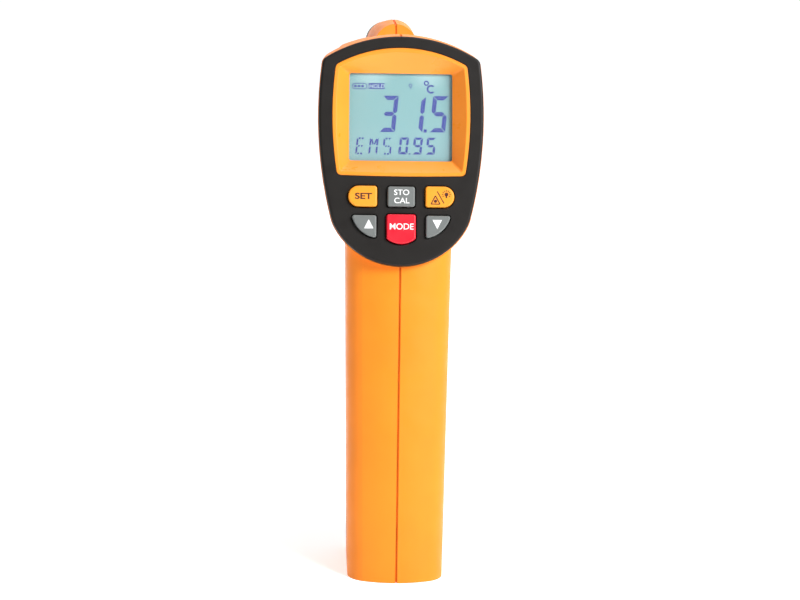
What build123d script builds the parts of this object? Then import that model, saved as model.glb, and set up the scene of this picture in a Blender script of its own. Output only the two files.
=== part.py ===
"""Pistol-grip infrared thermometer, as an assembly of separate pieces.

Frame: millimetres. The origin is the middle of the grip's flat base, +Z is up, +Y is the way the
lens points, and +X is the right hand of the person who holds it and reads the display.

The housing is two casings that meet on X = 0. Three local frames carry everything else: PANEL lies
on the face of the tilted display panel, GRIP runs up the raked grip, and the optics are turned
round a bore axis that runs along Y.
"""

import os
from functools import cache
from math import cos, radians, sin

from build123d import *

os.makedirs("parts", exist_ok=True)

# ---------------------------------------------------------------- driving dimensions
WALL = 2.2  # casing wall
GAP = 0.15  # between fixed pieces that sit in each other
FIT = 0.04  # between a pin or screw and the hole that holds it
RUNNING = 0.07  # between a pin and what turns on it
SEAM_HALF = 0.4  # half the width of the groove along the casings' joint
SEAM_DEPTH = 0.7
BASE_FLOOR = 2.4

PANEL_TILT = 16.7  # the display leans away from the reader
PANEL_HEIGHT = 86.1
PANEL_FOOT = (-11.6, 118.7)  # Y, Z of the lowest point of the panel's face
PANEL_PLATE = 3.0
PANEL_EDGE = 0.9  # rounding of the panel's edge
PANEL_RIM = 0.3  # how far the casings stand out past the panel
SKIRT_DEPTH = 4.0
SKIRT_WALL = 1.2

WINDOW_DEPTH = 5.0  # from the panel's face down to the window
FRAME_WALL = 0.8
LCD_FACE = -6.5  # these are heights in the panel's frame, which counts down into the housing
LCD_BACK = -8.3
DIFFUSER_BACK = -11.3
BOARD_FACE = -13.3
BOARD_THICKNESS = 1.6
BOARD_BACK = BOARD_FACE - BOARD_THICKNESS
BOARD_POSTS = [(-25.0, 27.0), (25.0, 27.0), (-21.6, -11.9), (21.6, -11.9)]
POST_R = 1.5
BOARD_SCREW_R = 0.8

KEY_PROUD = 1.5
KEY_CLEAR = 0.45
KEY_FLANGE = 0.9
KEY_REST = 0.3  # between a key's flange and the panel's back
FLANGE_THICKNESS = 0.8
STEM_R = 1.6
STEM_END = -10.0
MAT_FACE = -12.1
DOME_TOP = -11.15

GRIP_RAKE = 8.0
GRIP_REAR = -23.8  # Y in the grip's frame
GRIP_FRONT = 25.3
GRIP_HALF_LOW = 17.5
GRIP_HALF_HIGH = 19.8
GRIP_TOP = 150.0

BORE_Z = 167.0  # height of the optical axis
NOSE_BACK = 116.0
NOSE_STEP = 126.5
NOSE_FRONT = 131.0
NOSE_R = 22.2
NOSE_FRONT_R = 21.2
FUNNEL_R = 18.8
FUNNEL_BACK = 118.0
APERTURE_R = 12.0
BAFFLES = [119.6, 121.8, 124.0, 126.2]  # Y of the grooves that stop stray light
TUBE_R = 15.0
TUBE_BACK = 62.0
LENS_R = 13.2
LENS_SEAT = 110.5
LENS_THICKNESS = 2.8
LASER_Z = 190.3
LASER_R = 3.0
LASER_BRACKET_R = 4.0
LASER_BEAM_R = 1.8  # the hole the beam leaves by

BUMP_TOP = 200.9
BUMP_FRONT_TOP = 194.6
BUMP_START = 51.0
BUMP_LEVEL_END = 74.0  # Y where the hump starts to fall to the nose
BUMP_R = 8.6
BUMP_FOOT = 180.0

DOOR_SPLIT = 6.0  # Y in the grip's frame where the casings stop and the door starts
DOOR_TOP = 96.0
DOOR_GAP = 0.3
DOOR_WALL = 2.0
HINGE = (22.6, 11.2)  # Y, Z in the grip's frame
HINGE_BARREL_R = 2.0
HINGE_PIN_R = 0.9
HINGE_FLOOR = HINGE[1] - 3.0
KNUCKLE_HALF = 3.5
EAR = (3.8, 6.2)  # inner and outer X of the casings' hinge ears

TRIGGER_PIVOT = (48.5, 143.5)  # Y, Z
TRIGGER_HALF = 7.5
TRIGGER_SLOT_HALF = 7.9
TRIGGER_BOSS_R = 4.2
TRIGGER_PIN_R = 1.25
SLOT_BACK = 12.0  # Y in the grip's frame
SWITCH_Z = 131.0  # Z in the grip's frame
PLUNGER_R = 1.2
SPRING_Z = 112.0
SPRING_R = 3.0
SPRING_WIRE_R = 0.35
SPRING_SPAN = (27.0, 38.0)  # Y of its two ends

BATTERY_WIDTH = 26.0
BATTERY_DEPTH = 17.2
BATTERY_BODY = 46.0
BATTERY_FLOOR = 10.2  # Z in the grip's frame
BATTERY_BACK = -2.0  # Y in the grip's frame
TERMINAL_X = 6.35

CASING_SCREWS_HEAD = [(43.0, 187.0), (74.0, 147.9), (104.0, 148.2)]  # Y, Z
CASING_SCREWS_GRIP = [(-6.6, 22.0), (-3.2, 100.0)]  # Y, Z in the grip's frame
SCREW_R = 1.2
SCREW_HEAD_R = 2.4
SCREW_HEAD_X = (7.4, 9.2)
SCREW_TIP_X = -8.5
BOSS_R = 3.4

FAR = 60.0  # longer than any half of the object

# ---------------------------------------------------------------- frames
_tilt, _rake = radians(PANEL_TILT), radians(GRIP_RAKE)
PANEL = Plane(
    origin=(
        0,
        PANEL_FOOT[0] + PANEL_HEIGHT / 2 * sin(_tilt),
        PANEL_FOOT[1] + PANEL_HEIGHT / 2 * cos(_tilt),
    ),
    x_dir=(1, 0, 0),
    z_dir=(0, -cos(_tilt), sin(_tilt)),
)
GRIP = Plane(origin=(0, 0, 0), x_dir=(1, 0, 0), z_dir=(0, sin(_rake), cos(_rake)))
BORE = Plane(origin=(0, 0, BORE_Z), x_dir=(-1, 0, 0), z_dir=(0, 1, 0))
LASER = Plane(origin=(0, 0, LASER_Z), x_dir=(-1, 0, 0), z_dir=(0, 1, 0))


def across(y, z):
    """A frame whose Z runs along +X, for pins and screws that cross the housing."""
    return Plane(origin=(0, y, z), x_dir=(0, 1, 0), z_dir=(1, 0, 0))


def grip_point(y, z):
    """Y and Z in the part's frame of a point of the grip's frame."""
    return (y * cos(_rake) + z * sin(_rake), -y * sin(_rake) + z * cos(_rake))


def block(x0, x1, y0, y1, z0, z1):
    return Pos((x0 + x1) / 2, (y0 + y1) / 2, (z0 + z1) / 2) * Box(x1 - x0, y1 - y0, z1 - z0)


def bar(frame, radius, start, end, x=0.0, y=0.0):
    """A round bar along the frame's Z from start to end."""
    return frame * Pos(x, y, (start + end) / 2) * Cylinder(radius, end - start)


def ring(frame, outer, inner, start, end, x=0.0, y=0.0):
    return bar(frame, outer, start, end, x, y) - bar(frame, inner, start - 1, end + 1, x, y)


def plate(frame, face, low, high):
    """A face of the frame's XY plane made solid between two heights."""
    return frame * Pos(0, 0, low) * extrude(face, high - low)


def save(shape, name):
    """Write one node; a group of alike pieces is written as one compound."""
    solids = list(shape.solids())
    export_step(Compound(children=solids) if len(solids) > 1 else solids[0], f"parts/{name}.step")


# ---------------------------------------------------------------- outlines
def shield(corner, top, side, low, bottom, r_top, r_low):
    """A closed face of four arcs, alike left and right, with its four corners rounded."""
    (xc, yc), (xm, ym), (xl, yl) = corner, side, low
    edges = [
        ThreePointArc((-xc, yc), (0, top), (xc, yc)),
        ThreePointArc((xc, yc), (xm, ym), (xl, yl)),
        ThreePointArc((xl, yl), (0, bottom), (-xl, yl)),
        ThreePointArc((-xl, yl), (-xm, ym), (-xc, yc)),
    ]
    face = make_face(edges)
    face = fillet([v for v in face.vertices() if v.Y > (yc + yl) / 2], r_top)
    return fillet(sorted(face.vertices(), key=lambda v: v.Y)[:2], r_low)


def panel_outline():
    return shield(
        corner=(29.3, 34.2), top=PANEL_HEIGHT / 2, side=(30.67, 10.5), low=(25.4, -26.8),
        bottom=-PANEL_HEIGHT / 2, r_top=3.0, r_low=14.0,
    )


def frame_outline():
    """Where the display's sloping surround meets the panel's face."""
    return shield(
        corner=(24.5, 32.0), top=38.6, side=(25.7, 13.0), low=(23.8, -9.3), bottom=-9.65,
        r_top=2.2, r_low=1.8,
    )


def window_outline():
    return shield(
        corner=(19.25, 29.7), top=29.75, side=(19.3, 13.0), low=(19.25, -3.2), bottom=-3.25,
        r_top=0.8, r_low=0.8,
    )


# Y, Z and tilt of each section of the head behind the panel's rim, and its outline.
HEAD_SECTIONS = [
    (27.5, 161.5, 9.0, dict(
        corner=(26.4, 31.0), top=38.0, side=(27.4, 8.0), low=(22.5, -25.0), bottom=-36.0,
        r_top=4.0, r_low=12.0)),
    (54.0, 168.0, 0.0, dict(
        corner=(22.5, 23.2), top=27.0, side=(23.4, 5.0), low=(19.5, -23.0), bottom=-30.5,
        r_top=4.5, r_low=9.0)),
    (86.0, 168.0, 0.0, dict(
        corner=(21.6, 20.6), top=24.7, side=(22.5, 3.0), low=(17.6, -20.5), bottom=-25.6,
        r_top=5.5, r_low=9.0)),
    (NOSE_BACK, BORE_Z, 0.0, dict(
        corner=(16.4, 15.4), top=21.9, side=(21.9, 0.0), low=(15.9, -15.4), bottom=-22.1,
        r_top=8.0, r_low=8.0)),
]


@cache
def head(inset):
    """The head and barrel, lofted from the panel's rim to the nose, inset by a distance."""
    faces = [PANEL * Pos(0, 0, -PANEL_PLATE) * offset(panel_outline(), PANEL_RIM - inset)]
    for y, z, tilt, outline in HEAD_SECTIONS:
        t = radians(tilt)
        frame = Plane(origin=(0, y, z), x_dir=(1, 0, 0), z_dir=(0, -cos(t), sin(t)))
        faces.append(frame * offset(shield(**outline), -inset))
    return loft(faces)


@cache
def grip(inset):
    """The raked grip, a round back for the palm and flat sides, inset by a distance."""
    faces = []
    for z in (-10.0, GRIP_TOP):
        half = GRIP_HALF_LOW + (GRIP_HALF_HIGH - GRIP_HALF_LOW) * z / GRIP_TOP
        section = shield(
            corner=(half - 0.35, GRIP_FRONT - 4.0), top=GRIP_FRONT, side=(half + 0.3, -6.0),
            low=(half + 0.5, GRIP_REAR + 5.6), bottom=GRIP_REAR, r_top=6.5, r_low=9.0,
        )
        faces.append(GRIP * Pos(0, 0, z) * offset(section, -inset))
    return loft(faces)


def bump_face(top, inset):
    """A round-topped upright outline in X and Z."""
    radius = BUMP_R - inset
    centre = top - BUMP_R
    face = Pos(0, centre) * Circle(radius)
    return face + Pos(0, (BUMP_FOOT + centre) / 2) * Rectangle(2 * radius, centre - BUMP_FOOT)


def along_y(face, start, end):
    """A face drawn in X and Z, made solid from one Y to another."""
    return Plane.XZ.offset(-end) * extrude(face, end - start)


def bump(inset):
    """The hump on the roof that the laser sits in: a ramp at its back, then level, then falling."""
    def section(y, top):
        return Plane.XZ.offset(-y) * bump_face(top, inset)

    hump = along_y(bump_face(BUMP_TOP, inset), BUMP_START - 8, BUMP_LEVEL_END)
    hump += loft([section(BUMP_LEVEL_END, BUMP_TOP), section(NOSE_STEP, BUMP_FRONT_TOP)])
    foot, crest = BUMP_START - 3 + inset, BUMP_START + 6.5 + inset
    ramp = Polygon((0, 170), (foot, 170), (foot, 190), (crest, BUMP_TOP + 1), (0, BUMP_TOP + 1),
                   align=None)
    return hump - extrude(Plane.YZ * ramp, FAR, both=True)


def above_base(height):
    return block(-FAR, FAR, -FAR, 3 * FAR, height, 4 * FAR)


def behind_panel():
    """All the room behind the back of the panel's plate."""
    return PANEL * block(-FAR, FAR, -2 * FAR - 80, 2 * FAR, -3 * FAR, -PANEL_PLATE)


@cache
def housing(inset):
    """What lies inside the casings' surface, inset by a distance."""
    behind_nose = block(-FAR, FAR, -FAR, NOSE_BACK, 0, 4 * FAR)
    whole = head(inset) + grip(inset) + (bump(inset) & behind_nose)
    floor = BASE_FLOOR if inset >= WALL else 0.0
    return whole & above_base(floor) & behind_panel()


# ---------------------------------------------------------------- keys
def key_outlines():
    """The six key tops, in the panel's frame."""
    pill = Pos(15.8, -17.25) * Circle(3.85) + Pos(12.4, -17.25) * Rectangle(6.8, 7.7)
    pill = fillet([v for v in pill.vertices() if v.X < 9.5], 1.0)
    middle = Pos(0, -17.3) * RectangleRounded(10.1, 7.5, 0.9)
    wing = make_face([
        Line((9.2, -24.3), (18.4, -24.3)),
        ThreePointArc((18.4, -24.3), (15.3, -29.8), (9.2, -32.7)),
        Line((9.2, -32.7), (9.2, -24.3)),
    ])
    wing = fillet(wing.vertices(), 0.8)
    mode = make_face([
        Line((-5.4, -23.9), (5.4, -23.9)),
        Line((5.4, -23.9), (5.4, -32.9)),
        ThreePointArc((5.4, -32.9), (0, -34.9), (-5.4, -32.9)),
        Line((-5.4, -32.9), (-5.4, -23.9)),
    ])
    mode = fillet(mode.vertices(), 0.9)
    return {
        "set_key": (mirror(pill, Plane.YZ), (-14.0, -17.25)),
        "store_key": (middle, (0.0, -17.3)),
        "laser_key": (pill, (14.0, -17.25)),
        "up_key": (mirror(wing, Plane.YZ), (-12.8, -27.6)),
        "mode_key": (mode, (0.0, -29.0)),
        "down_key": (wing, (12.8, -27.6)),
    }


def key(outline, stem):
    """A cap that slides in the panel, with a flange behind the panel and a stem to the mat."""
    flange_top = -PANEL_PLATE - KEY_REST
    cap = extrude(Pos(0, 0, flange_top - 0.1) * outline, KEY_PROUD - flange_top + 0.1)
    cap = fillet(cap.edges().group_by(Axis.Z)[-1], 0.55)
    flange = extrude(Pos(0, 0, flange_top - FLANGE_THICKNESS) * offset(outline, KEY_FLANGE),
                     FLANGE_THICKNESS)
    shank = bar(Plane.XY, STEM_R, STEM_END, flange_top - 0.2, *stem)
    return PANEL * (cap + flange + shank)


# ---------------------------------------------------------------- panel and display
def display_funnel(grow_top, grow_low, top, depth):
    """A sloping block from the panel's face down to the window."""
    return PANEL * loft([
        Pos(0, 0, top) * offset(frame_outline(), grow_top),
        Pos(0, 0, -depth) * offset(window_outline(), grow_low),
    ])


def rear_panel(outlines):
    body = extrude(Pos(0, 0, -PANEL_PLATE) * panel_outline(), PANEL_PLATE)
    body = fillet(body.edges().group_by(Axis.Z)[-1], PANEL_EDGE)
    skirt = PANEL.location.inverse() * (head(WALL + GAP) - head(WALL + GAP + SKIRT_WALL))
    skirt &= block(-FAR, FAR, -FAR, FAR, -PANEL_PLATE - SKIRT_DEPTH, -PANEL_PLATE + 0.01)
    posts = Compound(children=[
        bar(Plane.XY, POST_R, BOARD_FACE, -PANEL_PLATE + 0.5, x, y) for x, y in BOARD_POSTS
    ])
    holes = [bar(Plane.XY, BOARD_SCREW_R + FIT, BOARD_FACE - 1, -6.0, x, y) for x, y in BOARD_POSTS]
    opening = extrude(Pos(0, 0, -PANEL_PLATE - 1) * offset(frame_outline(), GAP), PANEL_PLATE + 3)
    slots = [
        extrude(Pos(0, 0, -PANEL_PLATE - 1) * offset(outline, KEY_CLEAR), PANEL_PLATE + 3)
        for outline, _ in outlines.values()
    ]
    return PANEL * (body + skirt + posts - opening - slots - holes)


def display_frame():
    """The sloping surround of the display, open in the middle, with a lip under the window's edge."""
    outer = display_funnel(0.0, FRAME_WALL, -0.25, WINDOW_DEPTH + 0.4)
    back = PANEL * block(-22.4, 22.4, -6.4, 32.9, -WINDOW_DEPTH - 0.4, -WINDOW_DEPTH + 0.4)
    hollow = display_funnel(-FRAME_WALL, 0.0, 0.3, WINDOW_DEPTH)
    through = PANEL * extrude(Pos(0, 0, -WINDOW_DEPTH - 3) * window_outline(), 6)
    return outer + back - hollow - through


def window_plate(width, height, low, high):
    """A rectangular plate centred behind the window."""
    face = Pos(0, 13.25) * RectangleRounded(width, height, 0.6)
    return plate(PANEL, face, low, high)


def lcd_holder():
    """The frame that clips the glass and its light to the board."""
    outer = window_plate(46.4, 41.0, BOARD_FACE + GAP, LCD_FACE - 0.1)
    pocket = window_plate(43.3, 37.8, BOARD_FACE - 1, LCD_FACE + 1)
    return outer - pocket


def zebra_strips():
    strip = block(-19.0, 19.0, -0.9, 0.9, BOARD_FACE + GAP, LCD_BACK - GAP)
    return PANEL * (Pos(0, -4.3) * strip + Pos(0, 30.8) * strip)


def backlight_leds():
    led = block(-1.6, 1.6, -0.5, 0.5, DIFFUSER_BACK + 0.5, DIFFUSER_BACK + 2.0)
    return PANEL * (Pos(-10.0, 29.1) * led + Pos(10.0, 29.1) * led)


def diffuser():
    return plate(PANEL, Pos(0, 12.9) * Rectangle(41.0, 31.0), DIFFUSER_BACK, LCD_BACK - 0.1)


# ---------------------------------------------------------------- electronics
def main_board():
    outline = shield(
        corner=(25.4, 30.4), top=38.6, side=(26.3, 10.0), low=(22.0, -24.6), bottom=-38.6,
        r_top=2.0, r_low=12.0,
    )
    board = plate(PANEL, outline, BOARD_BACK, BOARD_FACE)
    for x, y in BOARD_POSTS:
        board -= bar(PANEL, BOARD_SCREW_R + 0.2, BOARD_BACK - 1, BOARD_FACE + 1, x, y)
    return board & housing(WALL + 0.3)


def board_screws():
    screws = []
    for x, y in BOARD_POSTS:
        shank = bar(PANEL, BOARD_SCREW_R, BOARD_BACK - 0.1, -7.0, x, y)
        screws.append(shank + bar(PANEL, 1.5, BOARD_BACK - 1.3, BOARD_BACK - 0.05, x, y))
    return Compound(children=screws)


def keypad_mat(outlines):
    mat = plate(PANEL, Pos(0, -24.0) * RectangleRounded(37.0, 20.5, 3.0), BOARD_FACE + 0.05, MAT_FACE)
    for _, (x, y) in outlines.values():
        mat += bar(PANEL, 3.0, MAT_FACE - 0.1, DOME_TOP, x, y)
    return mat & housing(WALL + 0.3)


def board_components():
    """Processor, memory, driver, crystal and capacitors on the back of the board."""
    boxes = [
        (-9.5, 8.0, 10.0, 10.0, 1.4),
        (9.0, 12.0, 6.0, 5.0, 1.5),
        (9.5, 2.0, 5.0, 4.0, 1.5),
        (-8.0, -6.0, 11.0, 4.5, 3.4),
        (6.0, -8.0, 3.0, 1.6, 1.2),
        (11.0, -8.0, 3.0, 1.6, 1.2),
        (-14.0, 22.0, 7.0, 5.5, 2.6),
    ]
    solids = [
        PANEL * block(x - w / 2, x + w / 2, y - h / 2, y + h / 2, BOARD_BACK - t, BOARD_BACK - 0.05)
        for x, y, w, h, t in boxes
    ]
    solids += [bar(PANEL, 2.5, BOARD_BACK - 6.0, BOARD_BACK - 0.05, x, -16.0) for x in (-12.0, -6.0)]
    return Compound(children=solids)


def buzzer():
    body = bar(PANEL, 6.0, BOARD_BACK - 4.5, BOARD_BACK - 0.05, 9.0, 25.0)
    return body - bar(PANEL, 1.0, BOARD_BACK - 5.0, BOARD_BACK - 3.0, 9.0, 25.0)


def wire(points, radius, frame=Plane.XY, start=None, end=None):
    """A round wire through points, leaving and arriving along the given directions."""
    path = frame * Spline(*points, tangents=[start, end])
    return sweep((path ^ 0) * Circle(radius), path=path)


# ---------------------------------------------------------------- optics and laser
def nose_bezel():
    back = NOSE_BACK + GAP
    body = bar(BORE, NOSE_R, back, NOSE_STEP)
    body += bump(0) & block(-FAR, FAR, back, NOSE_STEP, BORE_Z, 4 * FAR)
    cone = BORE * Pos(0, 0, (NOSE_STEP + NOSE_FRONT) / 2) * Cone(
        NOSE_R, NOSE_FRONT_R, NOSE_FRONT - NOSE_STEP)
    body += cone
    body = fillet(body.edges().group_by(Axis.Y)[-1], 1.2)
    body += ring(BORE, 19.2, 17.6, 110.0, back + 0.1) - block(-9, 9, 105, back, 178, 210)
    funnel = BORE * Pos(0, 0, (FUNNEL_BACK + NOSE_FRONT) / 2) * Cone(
        APERTURE_R, FUNNEL_R, NOSE_FRONT - FUNNEL_BACK)
    body -= funnel
    for y in BAFFLES:
        wall_r = APERTURE_R + (FUNNEL_R - APERTURE_R) * (y - FUNNEL_BACK) / (NOSE_FRONT - FUNNEL_BACK)
        body -= bar(BORE, wall_r + 0.9, y, y + 0.8)
    body -= bar(BORE, APERTURE_R, back - 1, FUNNEL_BACK + 0.01)
    body -= bar(LASER, LASER_BEAM_R, back - 1, NOSE_FRONT + 1)
    body -= bar(LASER, LASER_R + GAP, back - 1, 124.0)
    return body


def optics_tube():
    tube = ring(BORE, TUBE_R, TUBE_R - 1.5, TUBE_BACK, NOSE_BACK)
    tube += bar(BORE, TUBE_R - 1, TUBE_BACK, TUBE_BACK + 1.6)
    tube += ring(BORE, TUBE_R - 1, 11.4, LENS_SEAT - 2.0, LENS_SEAT)
    tube -= bar(BORE, 4.7, TUBE_BACK - 1, TUBE_BACK + 3)
    for x in (-9.0, 9.0):
        for z in (-9.0, 9.0):
            tube += bar(BORE, 1.4, TUBE_BACK - 1.7, TUBE_BACK + 0.5, x, z)
    return tube


def lens():
    """A plano-convex lens, the bulge to the front."""
    flat = LENS_SEAT + 0.05
    disc = bar(BORE, LENS_R, flat, flat + LENS_THICKNESS + 2)
    sphere_r = 62.0
    return disc & (Pos(0, flat + LENS_THICKNESS - sphere_r, BORE_Z) * Sphere(sphere_r))


def thermopile_sensor():
    can = bar(BORE, 4.1, 60.2, 64.6) + bar(BORE, 4.5, 60.2, 60.9)
    return can - bar(BORE, 1.6, 64.2, 65.0)


def sensor_ribbon():
    """The flat cable from the sensor's board to the main board."""
    path = Spline((19.3, 168.0), (38.0, 163.5), (58.4, 168.0), tangents=[(1, -0.4), (1, 0.3)])
    path = Plane.YZ * path
    return sweep((path ^ 0) * Rectangle(0.7, 5.0), path=path)


def laser_leads():
    """Two wires from the back of the laser over the optics tube to the main board."""
    wires = []
    for x in (-1.3, 1.3):
        points = [(x, 97.9, LASER_Z), (x, 80.0, 186.3), (x - 1, 56.0, 183.5), (x - 3, 23.1, 180.0)]
        wires.append(wire(points, 0.5, start=(0, -1, 0), end=(0, -1, 0)))
    return Compound(children=wires)


def switch_leads():
    """Two wires from the trigger's switch board up to the main board."""
    wires = []
    for x in (-5.0, 5.0):
        points = [(x, 10.0, SWITCH_Z + 5.0), (x, 1.0, SWITCH_Z + 6.0), (x, -9.6, SWITCH_Z + 2.0)]
        wires.append(wire(points, 0.5, GRIP, (0, -1, 0), (0, -1, 0)))
    return Compound(children=wires)


# ---------------------------------------------------------------- trigger
def trigger():
    y, z = TRIGGER_PIVOT
    edges = [
        Polyline((y - 2.0, z), (y + 3.6, z), (57.0, 135.0)),
        ThreePointArc((57.0, 135.0), (52.4, 119.0), (53.6, 105.5)),
        ThreePointArc((53.6, 105.5), (52.0, 102.4), (48.8, 101.4)),
        Polyline((48.8, 101.4), (37.4, 103.2), (39.9, 137.0), (y - 2.0, z)),
    ]
    body = extrude(Plane.YZ * make_face(edges), TRIGGER_HALF, both=True)
    front = body.edges().filter_by(lambda e: e.center().Y > 50 and abs(e.center().X) > 7)
    body = fillet([e for e in front if 103 < e.center().Z < 134], 2.0)
    body += bar(across(y, z), TRIGGER_BOSS_R, -TRIGGER_HALF, TRIGGER_HALF)
    return body - bar(across(y, z), TRIGGER_PIN_R + RUNNING, -FAR, FAR)


def switch_body():
    body = GRIP * block(-6.4, 6.4, 11.2, 17.6, SWITCH_Z - 3.0, SWITCH_Z + 3.0)
    return body - bar(plunger_axis(), PLUNGER_R + RUNNING, 13.0, 20.0)


def plunger_axis():
    return GRIP * Plane(origin=(0, 0, SWITCH_Z), x_dir=(-1, 0, 0), z_dir=(0, 1, 0))


def trigger_spring():
    low, high = SPRING_SPAN
    coil = Helix(pitch=(high - low - 0.8) / 6, height=high - low - 0.8, radius=SPRING_R)
    frame = Plane(origin=(0, low + 0.4, SPRING_Z), x_dir=(-1, 0, 0), z_dir=(0, 1, 0))
    return frame * sweep((coil ^ 0) * Circle(SPRING_WIRE_R), path=coil, is_frenet=True)


def trigger_surround():
    """The front of the grip above the door, that the trigger comes out of."""
    low = DOOR_TOP + DOOR_GAP
    region = GRIP * block(-FAR, FAR, DOOR_SPLIT + DOOR_GAP, FAR, low, GRIP_TOP - 1)
    inner = GRIP * block(-FAR, FAR, -FAR, FAR, low + DOOR_WALL, GRIP_TOP)
    above = Pos(0, 0, -GAP) * head(0)
    shell = (grip(0) & region) - (grip(DOOR_WALL) & inner) - above
    seat = grip(WALL + 0.3) & (GRIP * block(-FAR, FAR, 8.0, 10.0, low + 1, 134.5))
    slot_top = block(-TRIGGER_SLOT_HALF, TRIGGER_SLOT_HALF, 0, 2 * FAR, 100.4, 3 * FAR)
    slot = (GRIP * block(-FAR, FAR, SLOT_BACK, FAR, low + 2, 3 * FAR)) & slot_top
    return shell + seat - slot


# ---------------------------------------------------------------- battery and its door
def battery():
    x, y0, y1 = BATTERY_WIDTH / 2, BATTERY_BACK, BATTERY_BACK + BATTERY_DEPTH
    body = block(-x, x, y0, y1, BATTERY_FLOOR, BATTERY_FLOOR + BATTERY_BODY)
    body = fillet(body.edges().filter_by(Axis.Z), 2.0)
    top, mid = BATTERY_FLOOR + BATTERY_BODY, (y0 + y1) / 2
    body += bar(Plane.XY, 2.9, top - 0.1, top + 2.5, TERMINAL_X, mid)
    body += bar(Plane.XY, 3.7, top - 0.1, top + 2.5, -TERMINAL_X, mid)
    return GRIP * body


def battery_snap():
    mid, top = BATTERY_BACK + BATTERY_DEPTH / 2, BATTERY_FLOOR + BATTERY_BODY
    body = block(-12.5, 12.5, mid - 6.0, mid + 6.0, top + 0.3, top + 4.6)
    body = fillet(body.edges().filter_by(Axis.Z), 3.0)
    body -= bar(Plane.XY, 3.1, top, top + 2.7, TERMINAL_X, mid)
    body -= bar(Plane.XY, 3.9, top, top + 2.7, -TERMINAL_X, mid)
    return GRIP * body


def battery_lead(side):
    mid, top = BATTERY_BACK + BATTERY_DEPTH / 2, BATTERY_FLOOR + BATTERY_BODY + 4.65
    points = [(side * 3.0, mid, top), (side * 3.2, mid - 4.6, top + 14), (side * 4.0, -9.5, 92.0),
              (side * 4.0, -10.4, 112.0), (side * 4.0, -11.3, 121.0)]
    return wire(points, 0.6, GRIP, (0, 0, 1), (0, -0.3, 1))


def battery_door():
    y, z = HINGE
    shell = grip(0) - grip(DOOR_WALL)
    region = GRIP * block(-FAR, FAR, DOOR_SPLIT + DOOR_GAP, FAR, HINGE_FLOOR + 0.5, DOOR_TOP)
    top = GRIP * block(-FAR, FAR, DOOR_SPLIT + DOOR_GAP, FAR, DOOR_TOP - 1.6, DOOR_TOP)
    door = (shell & region) + (grip(0) & top)
    heel = GRIP * block(-FAR, FAR, -FAR, FAR, -FAR, z)
    turning = bar(GRIP * across(y, z), y - DOOR_SPLIT - 0.35, -FAR, FAR)
    door -= heel - turning
    toe = GRIP * block(-FAR, FAR, y, FAR, -FAR, z)
    door -= toe - bar(GRIP * across(y, z), z - HINGE_FLOOR - 0.4, -FAR, FAR)
    notch = GRIP * block(-EAR[1] - 0.4, EAR[1] + 0.4, y - 3.5, FAR, 0, z + 2.5)
    door -= notch
    web = GRIP * block(-KNUCKLE_HALF, KNUCKLE_HALF, y - HINGE_BARREL_R, FAR, z, z + 5.0)
    door += (web & grip(0)) + bar(GRIP * across(y, z), HINGE_BARREL_R, -KNUCKLE_HALF, KNUCKLE_HALF)
    for rise in (80.0, 83.0, 86.0, 89.0):
        door -= GRIP * block(-6.0, 6.0, GRIP_FRONT - 0.9, FAR, rise, rise + 1.2)
    return door - bar(GRIP * across(y, z), HINGE_PIN_R + RUNNING, -FAR, FAR)


# ---------------------------------------------------------------- casings
def casing_blank():
    """The hollow housing before it is split: ribs, shelf and hinge floor included."""
    outer = housing(0)
    cavity = housing(WALL)
    front = GRIP * block(-FAR, FAR, DOOR_SPLIT, FAR, HINGE_FLOOR, GRIP_TOP + 10)
    body = outer - cavity - (front - head(0))
    for y in (72.0, 107.0):
        rib = block(-FAR, FAR, y, y + 1.6, 140.0, 183.3) & housing(WALL - 0.2)
        body += rib - bar(BORE, TUBE_R + 0.1, 0, 2 * FAR)
    low, high = HINGE_FLOOR - 0.4, BATTERY_FLOOR - 0.2
    shelf = grip(DOOR_WALL + 0.6) & (GRIP * block(-14.4, 14.4, -20.0, 19.8, low, high))
    shelf += GRIP * block(-FAR, FAR, -FAR, DOOR_SPLIT - 0.1, low, high)
    back = GRIP * block(-FAR, FAR, BATTERY_BACK - 1.7, BATTERY_BACK - 0.2, 8.0, 66.0)
    inside = housing(WALL - 0.2)
    return body + (shelf & inside) + (back & inside)


def screw_axes():
    axes = [across(y, z) for y, z in CASING_SCREWS_HEAD]
    return axes + [across(*grip_point(y, z)) for y, z in CASING_SCREWS_GRIP]


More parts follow.
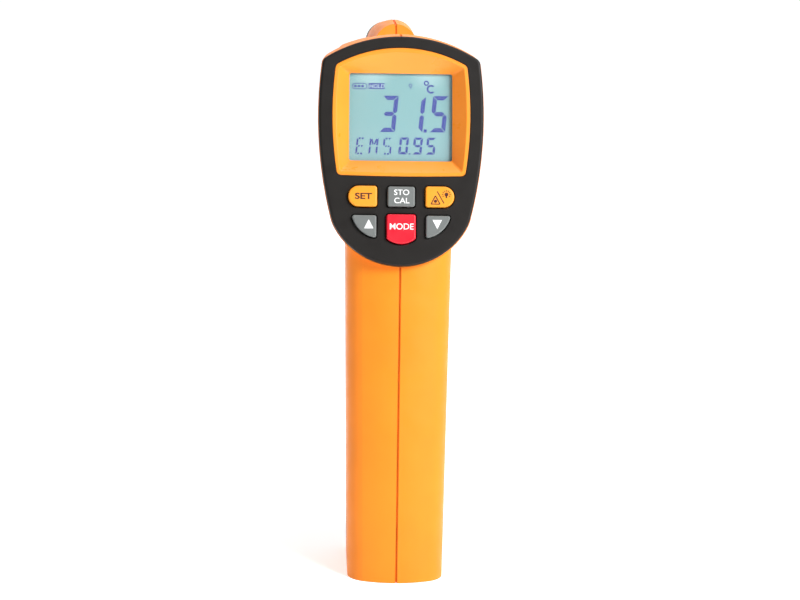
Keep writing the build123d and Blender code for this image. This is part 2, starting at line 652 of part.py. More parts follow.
def casing(side, blank):
    """One casing: side is -1 for the left, which takes the screws' threads, or +1."""
    def half(gap):
        x0, x1 = sorted((side * gap, side * FAR))
        return block(x0, x1, -FAR, 3 * FAR, -FAR, 4 * FAR)

    outer, core = housing(0), housing(SEAM_DEPTH)
    body = blank & half(0.05)
    additions = Compound(children=[bar(axis, BOSS_R, *sorted((side * 0.05, side * FAR)))
                                   for axis in screw_axes()])
    py, pz = TRIGGER_PIVOT
    additions += bar(across(py, pz), 3.0, *sorted((side * 8.1, side * FAR)))
    body += additions & outer
    y, z = HINGE
    ear = block(*sorted((side * EAR[0], side * EAR[1])), y - HINGE_BARREL_R, y + HINGE_BARREL_R, -2, z)
    ear = GRIP * ear + bar(GRIP * across(y, z), HINGE_BARREL_R, *sorted((side * EAR[0], side * EAR[1])))
    body += ear & outer
    body -= (outer - core) & block(-SEAM_HALF, SEAM_HALF, -FAR, 3 * FAR, -FAR, 4 * FAR)
    body -= block(-TRIGGER_SLOT_HALF, TRIGGER_SLOT_HALF, 36.0, 58.3, 128.0, 148.5)
    body -= bar(across(py, pz), TRIGGER_PIN_R + FIT, -12.1, 12.1)
    body -= bar(GRIP * across(y, z), HINGE_PIN_R + FIT, -EAR[1] - 1, EAR[1] + 1)
    for axis in screw_axes():
        if side > 0:
            body -= bar(axis, SCREW_R + 0.2, -FAR, SCREW_HEAD_X[1])
            body -= bar(axis, SCREW_HEAD_R + 0.2, SCREW_HEAD_X[0] - 0.05, FAR)
        else:
            body -= bar(axis, SCREW_R + FIT, SCREW_TIP_X - 0.5, 1.0)
    return body


def casing_screws():
    screws = []
    for axis in screw_axes():
        head_low, head_high = SCREW_HEAD_X
        screw = bar(axis, SCREW_R, SCREW_TIP_X, head_low + 0.1) + bar(axis, SCREW_HEAD_R, head_low, head_high)
        for turn in (0, 90):
            screw -= axis * Pos(0, 0, head_high - 0.5) * Rot(0, 0, turn) * Box(3.0, 0.7, 1.2)
        screws.append(screw)
    return Compound(children=screws)


def build():
    outlines = key_outlines()
    blank = casing_blank()
    lens_front = LENS_SEAT + LENS_THICKNESS
    pieces = {
        "left_casing": casing(-1, blank),
        "right_casing": casing(1, blank),
        "casing_screws": casing_screws(),
        "rear_panel": rear_panel(outlines),
        "display_frame": display_frame(),
        "display_window": window_plate(42.6, 36.6, LCD_FACE + 0.1, -WINDOW_DEPTH - 0.55),
        "lcd_glass": window_plate(43.0, 37.5, LCD_BACK, LCD_FACE),
        "backlight_diffuser": diffuser(),
        "backlight_leds": backlight_leds(),
        "lcd_holder": lcd_holder(),
        "zebra_strips": zebra_strips(),
        "keypad_mat": keypad_mat(outlines),
        "main_board": main_board(),
        "board_screws": board_screws(),
        "board_components": board_components(),
        "buzzer": buzzer(),
        "nose_bezel": nose_bezel(),
        "optics_tube": optics_tube(),
        "lens": lens(),
        "lens_retainer": ring(BORE, TUBE_R - 1.6, APERTURE_R - 0.2, lens_front + 0.1, NOSE_BACK - 0.1),
        "thermopile_sensor": thermopile_sensor(),
        "sensor_board": block(-12, 12, 58.5, 60.1, BORE_Z - 12, BORE_Z + 12),
        "sensor_ribbon": sensor_ribbon(),
        "laser_module": bar(LASER, LASER_R, 98.0, 112.0) - bar(LASER, 1.5, 111.0, 113.0),
        "laser_bracket": ring(LASER, LASER_BRACKET_R, LASER_R + FIT, 99.5, 108.0),
        "laser_window": bar(LASER, LASER_R, 122.9, 123.9),
        "laser_leads": laser_leads(),
        "trigger": trigger(),
        "trigger_pin": bar(across(*TRIGGER_PIVOT), TRIGGER_PIN_R, -12, 12),
        "trigger_spring": trigger_spring(),
        "trigger_switch": switch_body(),
        "switch_plunger": bar(plunger_axis(), PLUNGER_R, 15.6, 20.6),
        "switch_board": GRIP * block(-9, 9, 10.1, 11.1, SWITCH_Z - 7, SWITCH_Z + 6),
        "switch_leads": switch_leads(),
        "trigger_surround": trigger_surround(),
        "battery": battery(),
        "battery_snap": battery_snap(),
        "battery_lead_red": battery_lead(-1),
        "battery_lead_black": battery_lead(1),
        "battery_door": battery_door(),
        "door_hinge_pin": bar(GRIP * across(*HINGE), HINGE_PIN_R, -EAR[1] + 0.1, EAR[1] - 0.1),
    }
    for name, (outline, stem) in outlines.items():
        pieces[name] = key(outline, stem)
    for name, shape in pieces.items():
        save(shape, name)


build()
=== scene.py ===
"""Looks of the pistol-grip infrared thermometer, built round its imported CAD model.

Metres. +X is the reader's right, +Y is the way the lens points, +Z is up, and the grip stands on
Z = 0. Sizes of the object are in millimetres, and MM turns them into metres. The camera, the lights
and the backdrop are placed in metres.
"""

from math import cos, pi, radians, sin

import bmesh
import bpy
from mathutils import Matrix, Vector


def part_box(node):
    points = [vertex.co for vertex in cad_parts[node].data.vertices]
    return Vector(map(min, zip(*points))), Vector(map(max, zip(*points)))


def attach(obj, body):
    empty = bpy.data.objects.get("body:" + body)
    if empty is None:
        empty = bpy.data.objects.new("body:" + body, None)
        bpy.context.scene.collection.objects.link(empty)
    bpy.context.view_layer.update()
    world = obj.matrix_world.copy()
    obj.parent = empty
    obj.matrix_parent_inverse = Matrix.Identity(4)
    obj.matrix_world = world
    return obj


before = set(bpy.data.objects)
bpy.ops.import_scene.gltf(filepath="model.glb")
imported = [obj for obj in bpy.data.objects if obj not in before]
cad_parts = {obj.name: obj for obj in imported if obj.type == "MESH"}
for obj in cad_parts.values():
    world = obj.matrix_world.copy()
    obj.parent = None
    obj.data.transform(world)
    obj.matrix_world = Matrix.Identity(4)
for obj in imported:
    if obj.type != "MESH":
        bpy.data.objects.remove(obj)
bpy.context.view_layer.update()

MM = 0.001

# ---------------------------------------------------------------- sizes shared with the CAD
PANEL_TILT = radians(16.7)
PANEL_HEIGHT = 86.1
PANEL_FOOT = (-11.6, 118.7)  # Y and Z of the lowest point of the panel's face
KEY_TOP = 1.5  # heights in the panel's frame, above its face
LCD_TOP = -6.49  # just above the glass, under the window
PRINT_DEPTH = 0.03  # of the legends on the keys
LCD_MARK_DEPTH = 0.02

# ---------------------------------------------------------------- camera and light
TARGET = Vector((0.00064, 0.0, 0.10341))
LIT_POINT = TARGET + Vector((0, 0, 0.05))  # what the lamps face
CAMERA_DISTANCE = 1.0
CAMERA_ABOVE = radians(12.0)
CAMERA_LEFT = radians(3.4)
CAMERA_ROLL = radians(1.24)
LENS = 119.9
SENSOR_WIDTH = 36.0
WORLD_STRENGTH = 0.2

PANEL = Matrix.Translation(
    Vector((
        0,
        PANEL_FOOT[0] + PANEL_HEIGHT / 2 * sin(PANEL_TILT),
        PANEL_FOOT[1] + PANEL_HEIGHT / 2 * cos(PANEL_TILT),
    )) * MM
) @ Matrix.Rotation(pi / 2 - PANEL_TILT, 4, "X")


# ---------------------------------------------------------------- materials
def rgb(red, green, blue):
    """A colour given as screen values from 0 to 255, as the shader wants it."""
    def linear(value):
        value /= 255
        return value / 12.92 if value <= 0.04045 else ((value + 0.055) / 1.055) ** 2.4
    return (linear(red), linear(green), linear(blue), 1.0)


def shade(colour, factor):
    return tuple(min(1.0, c * factor) for c in colour[:3]) + (1.0,)


class Recipe:
    """A node material on one Principled shader, with helpers that add detail to it."""

    def __init__(self, name, colour, roughness, **sockets):
        self.material = bpy.data.materials.new(name)
        self.material.use_nodes = True
        self.nodes = self.material.node_tree.nodes
        self.links = self.material.node_tree.links
        self.shader = self.nodes["Principled BSDF"]
        self.coords = self.nodes.new("ShaderNodeTexCoord").outputs["Object"]
        self.shader.inputs["Base Color"].default_value = colour
        self.shader.inputs["Roughness"].default_value = roughness
        for socket, value in sockets.items():
            self.shader.inputs[socket.replace("_", " ")].default_value = value
        self.normal = None

    def noise(self, scale, detail=3.0, rough=0.55):
        node = self.nodes.new("ShaderNodeTexNoise")
        node.inputs["Scale"].default_value = scale
        node.inputs["Detail"].default_value = detail
        node.inputs["Roughness"].default_value = rough
        self.links.new(self.coords, node.inputs["Vector"])
        return node.outputs["Fac"]

    def spread(self, value, low, high, start=0.3, stop=0.7):
        node = self.nodes.new("ShaderNodeMapRange")
        node.interpolation_type = "SMOOTHSTEP"
        node.inputs["From Min"].default_value = start
        node.inputs["From Max"].default_value = stop
        node.inputs["To Min"].default_value = low
        node.inputs["To Max"].default_value = high
        self.links.new(value, node.inputs["Value"])
        return node.outputs["Result"]

    def mix(self, factor, first, second):
        node = self.nodes.new("ShaderNodeMix")
        node.data_type = "RGBA"
        self.links.new(factor, node.inputs["Factor"])
        for socket, value in (("A", first), ("B", second)):
            target = [s for s in node.inputs if s.name == socket and s.type == "RGBA"][0]
            if isinstance(value, tuple):
                target.default_value = value
            else:
                self.links.new(value, target)
        return [s for s in node.outputs if s.type == "RGBA"][0]

    def colour(self, value):
        self.links.new(value, self.shader.inputs["Base Color"])
        return self

    def vary(self, first, second, scale=40.0):
        """Slow drift between two close colours."""
        return self.colour(self.mix(self.spread(self.noise(scale), 0, 1), first, second))

    def polish(self, low, high, scale=180.0):
        """Roughness that wanders, as handling leaves it."""
        self.links.new(self.spread(self.noise(scale, 5.0), low, high), self.shader.inputs["Roughness"])
        return self

    def soften(self, radius):
        """Rounds the look of sharp edges by a small radius, in millimetres."""
        node = self.nodes.new("ShaderNodeBevel")
        node.samples = 4
        node.inputs["Radius"].default_value = radius * MM
        self.normal = node.outputs["Normal"]
        self.links.new(self.normal, self.shader.inputs["Normal"])
        return self

    def grain(self, scale, depth, strength=0.5):
        """Fine surface texture: features per metre, and depth in millimetres."""
        return self.relief(self.noise(scale, 2.0), depth, strength)

    def relief(self, value, depth, strength=1.0):
        node = self.nodes.new("ShaderNodeBump")
        node.inputs["Strength"].default_value = strength
        node.inputs["Distance"].default_value = depth * MM
        self.links.new(value, node.inputs["Height"])
        if self.normal:
            self.links.new(self.normal, node.inputs["Normal"])
        self.normal = node.outputs["Normal"]
        self.links.new(self.normal, self.shader.inputs["Normal"])
        return self

    def axis(self, name):
        node = self.nodes.new("ShaderNodeSeparateXYZ")
        self.links.new(self.coords, node.inputs["Vector"])
        return node.outputs[name]

    def spot(self, centre, near, far):
        """1 at a point and 0 beyond a distance from it, in metres."""
        node = self.nodes.new("ShaderNodeVectorMath")
        node.operation = "DISTANCE"
        self.links.new(self.coords, node.inputs[0])
        node.inputs[1].default_value = centre
        return self.spread(node.outputs["Value"], 1.0, 0.0, near, far)


def moulded(name, colour, roughness=0.42, edge=0.35, depth=0.012, shine=0.45):
    """Injection-moulded plastic with a fine spark-eroded grain."""
    recipe = Recipe(name, colour, roughness, Specular_IOR_Level=shine)
    recipe.vary(colour, shade(colour, 0.93)).polish(roughness - 0.05, roughness + 0.08)
    return recipe.soften(edge).grain(2600.0, depth).material


def metal(name, colour, roughness, scale=900.0):
    recipe = Recipe(name, colour, roughness, Metallic=1.0)
    recipe.vary(colour, shade(colour, 0.8), 300.0).polish(roughness - 0.06, roughness + 0.12, scale)
    return recipe.soften(0.15).grain(scale * 2, 0.006).material


def ink(name, colour):
    """Pad-printed legend: slightly uneven cover and a soft sheen."""
    recipe = Recipe(name, colour, 0.5)
    recipe.vary(colour, shade(colour, 0.88), 900.0).polish(0.42, 0.6, 1500.0)
    return recipe.grain(5000.0, 0.004).material


def board_green():
    """Solder mask over copper tracks, with bare pads between them."""
    mask, copper = rgb(18, 84, 46), rgb(30, 112, 62)
    recipe = Recipe("circuit_board", mask, 0.35, Coat_Weight=0.3)
    tracks = recipe.nodes.new("ShaderNodeTexVoronoi")
    tracks.distance = "CHEBYCHEV"
    tracks.inputs["Scale"].default_value = 420.0
    recipe.links.new(recipe.coords, tracks.inputs["Vector"])
    lines = recipe.spread(tracks.outputs["Distance"], 1.0, 0.0, 0.28, 0.34)
    recipe.colour(recipe.mix(lines, mask, copper))
    return recipe.polish(0.28, 0.42).relief(lines, 0.03).material


def display_glass():
    """The lit display, pale green-blue, with light and shade painted into its colour: painted light
    making it paler towards the bottom, two painted pools of lamp light near the top, and painted shade
    darkening the right edge; this painted colour is also given off faintly as light.
    """
    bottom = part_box("lcd_glass")[0].z
    # pale is the painted lighter colour for the bottom of the glass; mid is the plain colour
    pale, mid = rgb(126, 170, 176), rgb(119, 166, 170)
    # the painted lamp-light colour, and a darker colour used both for painted shade and for random tone
    painted_lamp_glow, dim_tone_and_painted_shade = rgb(154, 192, 196), rgb(110, 148, 157)
    recipe = Recipe("lcd", mid, 0.35, Emission_Strength=0.04)
    # painted light: paler towards the bottom of the glass
    painted_light_fade = recipe.spread(recipe.axis("Z"), 1.0, 0.0, bottom + 4 * MM, bottom + 22 * MM)
    base = recipe.mix(painted_light_fade, mid, pale)
    # painted shade: darker towards the right edge
    base = recipe.mix(recipe.spread(recipe.axis("X"), 0.0, 0.8, 14 * MM, 21 * MM), base, dim_tone_and_painted_shade)
    # painted light: two bright pools painted round the lamps near the top
    for x in (-10.5, 10.5):
        centre = PANEL @ (Vector((x, 31.5, LCD_TOP)) * MM)
        base = recipe.mix(recipe.spot(tuple(centre), 1.5 * MM, 9.5 * MM), base, painted_lamp_glow)
    speckle = recipe.spread(recipe.noise(2400.0, 2.0), 0.0, 0.06)
    base = recipe.mix(speckle, base, dim_tone_and_painted_shade)
    recipe.links.new(base, recipe.shader.inputs["Emission Color"])
    return recipe.colour(base).polish(0.3, 0.4).material


def clear(name, colour, alpha, roughness=0.04):
    recipe = Recipe(name, colour, roughness, Alpha=alpha, Specular_IOR_Level=0.15)
    return recipe.polish(roughness, roughness + 0.05, 60.0).grain(400.0, 0.001, 0.2).material


def coated_lens():
    colour = rgb(92, 70, 110)
    recipe = Recipe("lens_glass", colour, 0.05, Coat_Weight=1.0, Metallic=0.55)
    facing = recipe.nodes.new("ShaderNodeLayerWeight")
    facing.inputs["Blend"].default_value = 0.45
    tint = recipe.mix(facing.outputs["Facing"], rgb(70, 44, 88), rgb(46, 104, 112))
    return recipe.colour(tint).polish(0.03, 0.09, 90.0).grain(500.0, 0.001, 0.2).material


def battery_wrap():
    """A foil jacket: dark body, and a light band from about three quarters of its height up to the top.
    """
    low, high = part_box("battery")
    dark, band = rgb(34, 40, 52), rgb(196, 120, 48)
    recipe = Recipe("battery_wrap", dark, 0.3, Metallic=0.5, Coat_Weight=0.4)
    height = recipe.axis("Z")
    edge = low.z + 0.74 * (high.z - low.z)
    jacket = recipe.mix(recipe.spread(height, 0, 1, edge, edge + 0.3 * MM), dark, band)
    return recipe.colour(jacket).polish(0.22, 0.4, 300.0).soften(0.3).grain(900.0, 0.01).material


ORANGE = rgb(253, 141, 27)
PANEL_BLACK = rgb(25, 22, 20)

MATERIALS = {
    "orange": moulded("orange_shell", ORANGE, 0.42, shine=0.32),
    "panel": moulded("panel_black", PANEL_BLACK, 0.5, 0.3, 0.02, shine=0.26),
    "black": moulded("black_shell", rgb(32, 31, 31), 0.46, 0.4, 0.03),
    "door": moulded("door_black", rgb(34, 33, 33), 0.5, 0.35, 0.045),
    "funnel": moulded("funnel_orange", rgb(255, 152, 46), 0.32, 0.25, 0.006),
    "key_orange": moulded("key_orange", rgb(250, 158, 40), 0.38, 0.3, 0.01),
    "key_grey": moulded("key_grey", rgb(112, 116, 115), 0.42, 0.3, 0.01),
    "key_red": moulded("key_red", rgb(226, 22, 46), 0.38, 0.3, 0.01),
    "trigger": moulded("trigger_black", rgb(30, 30, 31), 0.44, 0.6, 0.02),
    "white": moulded("white_plastic", rgb(226, 228, 226), 0.5, 0.2, 0.01),
    "chip": moulded("chip", rgb(30, 30, 32), 0.55, 0.15, 0.02),
    "silicone": moulded("silicone", rgb(188, 191, 192), 0.65, 0.4, 0.02),
    "zebra": moulded("zebra", rgb(214, 196, 190), 0.7, 0.2, 0.02),
    "ribbon": moulded("ribbon_grey", rgb(176, 178, 180), 0.5, 0.1, 0.02),
    "tube": moulded("tube_black", rgb(26, 26, 27), 0.7, 0.2, 0.03),
    "red_wire": moulded("wire_red", rgb(196, 30, 28), 0.4, 0.1, 0.006),
    "black_wire": moulded("wire_black", rgb(30, 30, 31), 0.4, 0.1, 0.006),
    "led": moulded("led", rgb(240, 246, 236), 0.25, 0.1, 0.004),
    "steel": metal("steel", (0.62, 0.62, 0.63, 1.0), 0.3),
    "spring": metal("spring_steel", (0.6, 0.6, 0.6, 1.0), 0.22),
    "brass": metal("brass", (0.78, 0.55, 0.24, 1.0), 0.28),
    "aluminium": metal("aluminium", (0.34, 0.34, 0.35, 1.0), 0.34),
    "board": board_green(),
    "lcd": display_glass(),
    "window": clear("clear", (0.9, 0.97, 0.97, 1.0), 0.03),
    "laser_glass": clear("laser_glass", rgb(120, 20, 24), 0.6),
    "lens": coated_lens(),
    "wrap": battery_wrap(),
    "digits": ink("lcd_ink", rgb(28, 52, 148)),
    "digits_pale": ink("lcd_ink_pale", rgb(188, 226, 226)),
    "white_ink": ink("white_ink", rgb(246, 247, 247)),
    "brown_ink": ink("brown_ink", rgb(76, 28, 12)),
}

NODE_MATERIALS = {
    "orange": ["left_casing", "right_casing"],
    "panel": ["rear_panel"],
    "black": ["nose_bezel", "trigger_surround"],
    "door": ["battery_door"],
    "funnel": ["display_frame"],
    "key_orange": ["set_key", "laser_key"],
    "key_grey": ["store_key", "up_key", "down_key"],
    "key_red": ["mode_key", "switch_plunger"],
    "trigger": ["trigger"],
    "white": ["backlight_diffuser", "lcd_holder", "laser_bracket"],
    "chip": ["board_components", "buzzer", "trigger_switch"],
    "silicone": ["keypad_mat"],
    "zebra": ["zebra_strips"],
    "ribbon": ["sensor_ribbon"],
    "tube": ["optics_tube"],
    "red_wire": ["laser_leads", "battery_lead_red"],
    "black_wire": ["switch_leads", "battery_lead_black", "battery_snap"],
    "led": ["backlight_leds"],
    "steel": ["casing_screws", "board_screws", "thermopile_sensor", "trigger_pin", "door_hinge_pin"],
    "spring": ["trigger_spring"],
    "brass": ["laser_module"],
    "aluminium": ["lens_retainer"],
    "board": ["main_board", "sensor_board", "switch_board"],
    "lcd": ["lcd_glass"],
    "window": ["display_window"],
    "laser_glass": ["laser_window"],
    "lens": ["lens"],
    "wrap": ["battery"],
}


def dress_nodes():
    """Gives each CAD node its material in place of the plain one it came with."""
    for key, names in NODE_MATERIALS.items():
        for name in names:
            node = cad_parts[name]
            for slot in node.material_slots:
                slot.material = MATERIALS[key]


# ---------------------------------------------------------------- flat marks
CAP_OF_SIZE = 0.72  # a capital's height as a share of the font size


def mark(name, loops, height, thickness, material, body):
    """One piece from closed outlines in the panel's frame, each made a thin raised plate."""
    mesh = bmesh.new()
    for loop in loops:
        rings = [
            [mesh.verts.new(Vector((x, y, z)) * MM) for x, y in loop]
            for z in (height, height + thickness)
        ]
        mesh.faces.new(rings[1])
        mesh.faces.new(list(reversed(rings[0])))
        count = len(loop)
        for i in range(count):
            j = (i + 1) % count
            mesh.faces.new((rings[0][i], rings[0][j], rings[1][j], rings[1][i]))
    bmesh.ops.recalc_face_normals(mesh, faces=mesh.faces)
    return place(name, mesh, material, body)


def place(name, mesh, material, body):
    data = bpy.data.meshes.new(name)
    mesh.to_mesh(data)
    mesh.free()
    data.transform(PANEL)
    data.materials.append(MATERIALS[material])
    piece = bpy.data.objects.new(name, data)
    bpy.context.scene.collection.objects.link(piece)
    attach(piece, body)
    return piece


def lettering(name, words, centre, cap, height, material, body,
              width=1.0, slant=0.0, weight=0.03):
    """Block capitals centred on a point of the panel's frame; cap is the letters' height."""
    curve = bpy.data.curves.new(name, "FONT")
    curve.body = words
    curve.align_x = "CENTER"
    curve.size = cap * MM / CAP_OF_SIZE
    curve.shear = slant
    curve.offset = weight * MM
    curve.extrude = 0.02 * MM
    curve.resolution_u = 6
    carrier = bpy.data.objects.new(name, curve)
    bpy.context.scene.collection.objects.link(carrier)
    bpy.context.view_layer.update()
    data = bpy.data.meshes.new_from_object(carrier)
    bpy.data.objects.remove(carrier)
    x, y = centre
    stretch = Matrix.Diagonal((width, 1, 1, 1))
    spot = Matrix.Translation(Vector((x, y - cap / 2, height)) * MM) @ stretch
    mesh = bmesh.new()
    mesh.from_mesh(data)
    bmesh.ops.transform(mesh, matrix=spot, verts=mesh.verts)
    return place(name, mesh, material, body)


def disc(x, y, radius, count=20):
    return [(x + radius * cos(2 * pi * i / count), y + radius * sin(2 * pi * i / count))
            for i in range(count)]


def band(x, y, outer, inner, start=0.0, stop=2 * pi, count=18):
    """A ring or arc, as a row of four-sided outlines."""
    loops = []
    for i in range(count):
        a, b = (start + (stop - start) * (i + k) / count for k in (0, 1))
        loops.append([
            (x + outer * cos(a), y + outer * sin(a)),
            (x + outer * cos(b), y + outer * sin(b)),
            (x + inner * cos(b), y + inner * sin(b)),
            (x + inner * cos(a), y + inner * sin(a)),
        ])
    return loops


def stroke(start, end, width):
    """A straight stroke as one outline."""
    along = (Vector(end) - Vector(start)).normalized() * width / 2
    across = Vector((-along.y, along.x))
    return [tuple(p) for p in (
        Vector(start) + across, Vector(start) - across, Vector(end) - across, Vector(end) + across)]


# ---------------------------------------------------------------- the display's marks
SEGMENTS_OF = {
    "0": "abcdef", "1": "bc", "3": "abcdg", "5": "acdfg", "9": "abcdfg",
    "E": "adefg", "M": "bcefhj", "S": "acdfg",
}


def segment_shapes(width, height, stroke_width, gap, split):
    """The outlines of each segment of a digit that stands in a box, without its slant."""
    w, h, t, g, m = width, height, stroke_width, gap, height / 2
    top = [(g, h), (w - g, h), (w - t - g, h - t), (t + g, h - t)]
    middle = [(t / 2 + g, m), (t + g, m + t / 2), (w - t - g, m + t / 2), (w - t / 2 - g, m),
              (w - t - g, m - t / 2), (t + g, m - t / 2)]
    foot = m + t / 2 + g / 2
    left = [(0, h - g), (t, h - t - g), (t, foot), (t / 2, m + g), (0, foot)]
    shapes = {"a": [top], "g": [middle], "f": [left]}
    if split:
        c, s = w / 2, t * 0.35
        shapes["a"] = [[(t * 0.9, h), (c - s, h), (c - s, h - t), (t * 1.2, h - t)],
                       [(c + s, h), (w - t * 0.9, h), (w - t * 1.2, h - t), (c + s, h - t)]]
        dash = [(t, m), (t * 1.5, m + t / 2), (c - s, m + t / 2), (c - s, m - t / 2),
                (t * 1.5, m - t / 2)]
        shapes["g"] = [dash, [(w - x, y) for x, y in dash]]
        shapes["h"] = [stroke((t * 1.1, h - t * 0.8), (c - s, m + t * 0.9), t * 0.8)]
        shapes["j"] = [[(w - x, y) for x, y in loop] for loop in shapes["h"]]
    shapes["d"] = [[(x, h - y) for x, y in loop] for loop in shapes["a"]]
    shapes["e"] = [[(x, h - y) for x, y in loop] for loop in shapes["f"]]
    shapes["b"] = [[(w - x, y) for x, y in loop] for loop in shapes["f"]]
    shapes["c"] = [[(w - x, y) for x, y in loop] for loop in shapes["e"]]
    return shapes


def digit(character, x, y, width, height, stroke_width, gap, slant, split=False):
    shapes = segment_shapes(width, height, stroke_width, gap, split)
    loops = []
    for segment in SEGMENTS_OF[character]:
        for loop in shapes[segment]:
            loops.append([(x + px + slant * py, y + py) for px, py in loop])
    return loops


def on_glass(name, loops):
    mark(name, loops, LCD_TOP, LCD_MARK_DEPTH, "digits", "housing")


def display_marks():
    """The reading, the emissivity line and the small symbols, as the glass shows them."""
    slant = 0.105
    big = dict(width=5.9, height=13.7, stroke_width=1.6, gap=0.16, slant=slant)
    reading = []
    for character, x, y in (("3", -8.0, 7.85), ("1", 2.25, 7.75), ("5", 10.8, 7.95)):
        reading += digit(character, x, y, **big)
    reading += [[(8.62, 7.8), (9.8, 7.8), (9.88, 9.0), (8.7, 9.0)]]
    small = dict(width=3.3, height=6.4, stroke_width=0.68, gap=0.16, slant=slant)
    loops = []
    for character, x in (("E", -16.95), ("M", -12.05), ("S", -6.9)):
        loops += digit(character, x, -0.7, split=True, **small)
    figures = dict(small, width=3.45, stroke_width=0.9)
    for character, x in (("0", -0.85), ("9", 4.4), ("5", 9.35)):
        loops += digit(character, x, -0.5, **figures)
    loops += [[(3.12, -0.65), (3.7, -0.65), (3.76, -0.02), (3.18, -0.02)]]
    on_glass("display_reading", reading)
    on_glass("display_emissivity", loops)

    unit = band(9.65, 26.45, 1.0, 0.5)
    unit += band(11.4, 24.2, 1.65, 1.0, radians(45), radians(315), 22)
    on_glass("display_unit", unit)

    cell = [disc(-17.3 + 1.35 * k + 0.35, 25.05, 0.52, 10) for k in range(3)]
    frame_line = [stroke((-17.1, y), (-13.6, y), 0.28) for y in (26.1, 24.0)]
    frame_line += band(-17.0, 25.05, 1.2, 0.92, radians(90), radians(270), 10)
    frame_line += band(-13.7, 25.05, 1.2, 0.92, radians(-90), radians(90), 10)
    on_glass("display_battery", cell + frame_line)

    on_glass("display_hold_box", [[(-12.0, 24.0), (-6.0, 24.0), (-6.0, 26.25), (-12.0, 26.25)]])
    lettering("display_hold", "HOLD", (-9.0, 25.15), 1.5, LCD_TOP + 0.03, "digits_pale",
              "housing", slant=0.2, weight=0.0)

    bulb = band(3.7, 25.5, 0.68, 0.42, count=12)
    bulb += [stroke((3.4, y), (4.0, y), 0.18) for y in (24.6, 24.25)]
    on_glass("display_lamp", bulb)


# ---------------------------------------------------------------- legends on the keys
# Piece, word, centre, capital height, ink, key, width and weight of each word.
WORDS = [
    ("legend_set", "SET", (-14.1, -17.2), 2.25, "brown_ink", "set", 1.3, 0.09),
    ("legend_store", "STO", (0.1, -15.7), 2.1, "white_ink", "store", 1.06, 0.03),
    ("legend_calibrate", "CAL", (0.1, -18.75), 2.1, "white_ink", "store", 1.06, 0.03),
    ("legend_mode", "MODE", (0.1, -28.4), 2.3, "white_ink", "mode", 1.0, 0.03),
]


def on_key(name, loops, ink_name, key):
    mark(name, loops, KEY_TOP, PRINT_DEPTH, ink_name, f"{key}_key_body")


def key_legends():
    """Words, arrows, and the laser and lamp signs printed on the keys."""
    for name, word, centre, cap, ink_name, key, width, weight in WORDS:
        lettering(name, word, centre, cap, KEY_TOP, ink_name, f"{key}_key_body",
                  width=width, weight=weight)
    on_key("legend_up", [[(-13.8, -29.3), (-10.3, -29.3), (-12.05, -25.9)]], "white_ink", "up")
    on_key("legend_down", [[(11.6, -25.9), (13.35, -29.3), (15.1, -25.9)]], "white_ink", "down")

    corners = [(11.0, -20.0), (14.3, -20.0), (12.65, -16.9)]
    loops = [stroke(corners[i], corners[(i + 1) % 3], 0.38) for i in range(3)]
    loops.append(disc(12.65, -18.95, 0.62))
    loops.append(stroke((13.3, -15.3), (15.8, -19.7), 0.36))
    lamp_x, lamp_y = 16.7, -16.4
    loops.append(disc(lamp_x, lamp_y, 0.72))
    loops.append([(16.42, -17.7), (16.98, -17.7), (16.98, -16.8), (16.42, -16.8)])
    for k in range(9):
        angle = radians(-30 + 30 * k)
        inner, outer = (
            (lamp_x + reach * cos(angle), lamp_y + reach * sin(angle)) for reach in (1.1, 1.65))
        loops.append(stroke(inner, outer, 0.27))
    on_key("legend_laser_lamp", loops, "brown_ink", "laser")


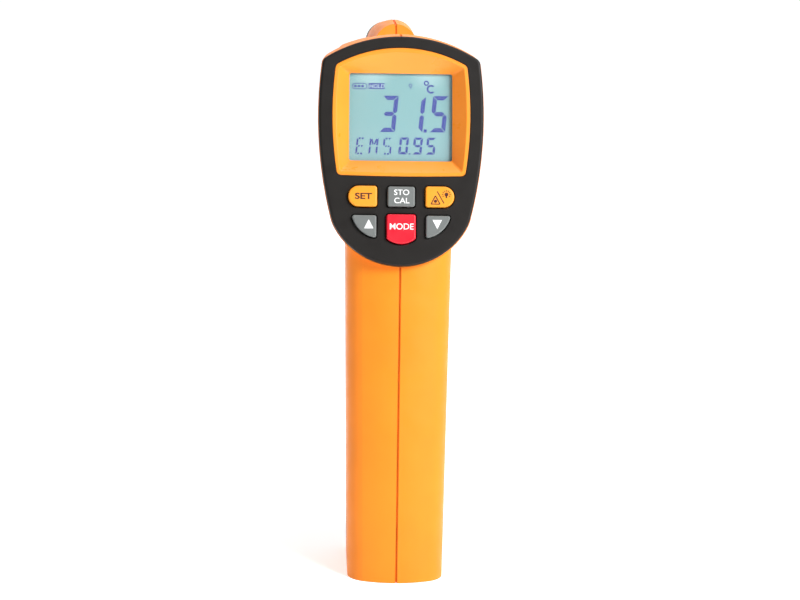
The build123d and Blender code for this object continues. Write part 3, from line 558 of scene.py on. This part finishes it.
# ---------------------------------------------------------------- stage
def backdrop():
    """A pale floor that curves up behind the object."""
    half, bend, back, top = 2.5, 0.8, 1.4, 3.0
    outline = [(-half, 0.0), (back, 0.0)]
    steps = 16
    for i in range(1, steps + 1):
        angle = pi / 2 * i / steps
        outline.append((back + bend * sin(angle), bend - bend * cos(angle)))
    outline.append((back + bend, top))
    mesh = bmesh.new()
    rows = [[mesh.verts.new((x, y, z)) for x in (-half, half)] for y, z in outline]
    for low, high in zip(rows, rows[1:]):
        mesh.faces.new((low[0], low[1], high[1], high[0])).smooth = True
    data = bpy.data.meshes.new("backdrop")
    mesh.to_mesh(data)
    mesh.free()
    recipe = Recipe("paper", (0.92, 0.92, 0.92, 1.0), 0.9, Emission_Strength=0.5)
    recipe.shader.inputs["Emission Color"].default_value = (1, 1, 1, 1)
    data.materials.append(recipe.grain(300.0, 0.05, 0.1).material)
    sheet = bpy.data.objects.new("backdrop", data)
    bpy.context.scene.collection.objects.link(sheet)


def soft_light(name, place_at, size, power):
    light = bpy.data.lights.new(name, "AREA")
    light.shape = "RECTANGLE"
    light.size, light.size_y = size
    light.energy = power
    lamp = bpy.data.objects.new(name, light)
    lamp.location = place_at
    lamp.rotation_euler = (LIT_POINT - Vector(place_at)).to_track_quat("-Z", "Y").to_euler()
    bpy.context.scene.collection.objects.link(lamp)


def studio():
    world = bpy.data.worlds.new("studio")
    world.use_nodes = True
    sky = world.node_tree.nodes["Background"]
    sky.inputs["Color"].default_value = (1, 1, 1, 1)
    sky.inputs["Strength"].default_value = WORLD_STRENGTH
    bpy.context.scene.world = world
    soft_light("key_light", (0.75, -0.75, 0.75), (0.45, 0.45), 17.8)
    soft_light("fill_light", (-0.9, -0.6, 0.25), (0.9, 0.9), 0.6)
    soft_light("top_light", (0.1, 0.25, 1.1), (0.7, 0.5), 7.0)


def camera():
    """The camera looks down and a little to the right, and is rolled slightly."""
    view = Vector((
        sin(CAMERA_LEFT) * cos(CAMERA_ABOVE), cos(CAMERA_LEFT) * cos(CAMERA_ABOVE), -sin(CAMERA_ABOVE)))
    right = Vector((cos(CAMERA_LEFT), -sin(CAMERA_LEFT), 0))
    up = right.cross(view)
    rolled_right = right * cos(CAMERA_ROLL) + up * sin(CAMERA_ROLL)
    rolled_up = up * cos(CAMERA_ROLL) - right * sin(CAMERA_ROLL)
    data = bpy.data.cameras.new("camera")
    data.lens = LENS
    data.sensor_width = SENSOR_WIDTH
    data.clip_start = 0.05
    eye = bpy.data.objects.new("camera", data)
    turn = Matrix((rolled_right, rolled_up, -view)).transposed().to_4x4()
    eye.matrix_world = Matrix.Translation(TARGET - view * CAMERA_DISTANCE) @ turn
    bpy.context.scene.collection.objects.link(eye)
    bpy.context.scene.camera = eye


bpy.context.scene.view_settings.view_transform = "Standard"
dress_nodes()
display_marks()
key_legends()
backdrop()
studio()
camera()
